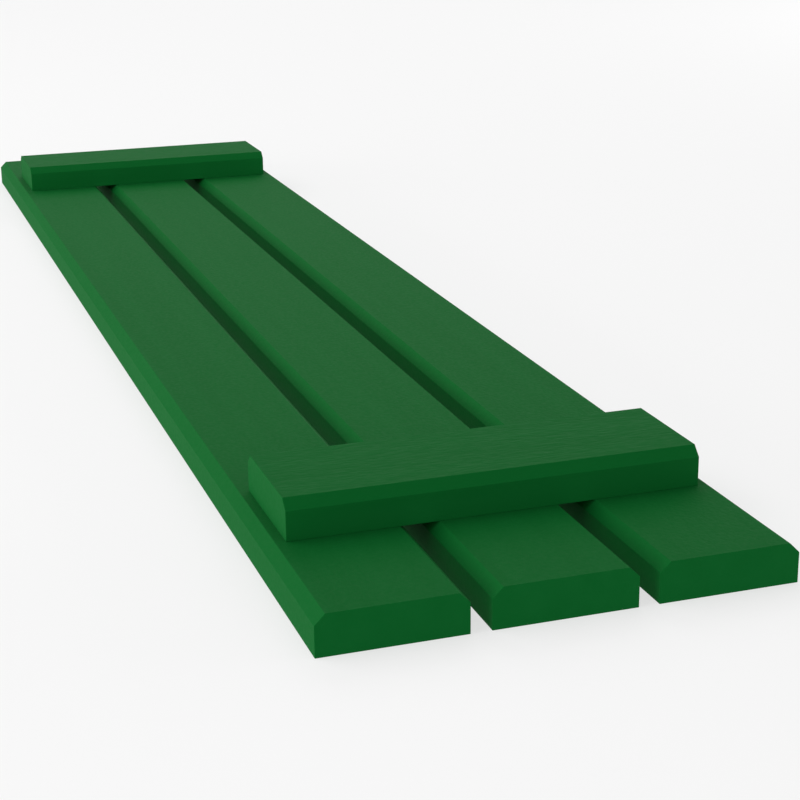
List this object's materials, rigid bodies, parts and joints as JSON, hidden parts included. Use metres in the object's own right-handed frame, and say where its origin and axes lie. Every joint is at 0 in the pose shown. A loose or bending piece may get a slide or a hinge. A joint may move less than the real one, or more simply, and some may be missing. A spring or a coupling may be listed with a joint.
{
  "type": "board and batten shutter",
  "caption": "Fixed window shutter of spaced upright boards with chamfered front edges, held together by chamfered battens across the front near the ends, painted green.",
  "frame": {"origin": "centre of the shutter's back, the plane that meets the wall", "axes": "+Z out of the front face, which is up as the shutter lies on its back; +Y along the boards towards the top end; +X across the boards to the right, seen from the front with the top end up"},
  "size_m": [0.2922, 1.3716, 0.0508],
  "materials": {
    "green_paint": "satin"
  },
  "bodies": {
    "root": {"left_board": "green_paint", "middle_board": "green_paint", "right_board": "green_paint", "bottom_batten": "green_paint", "top_batten": "green_paint"}
  },
  "joints": []
}
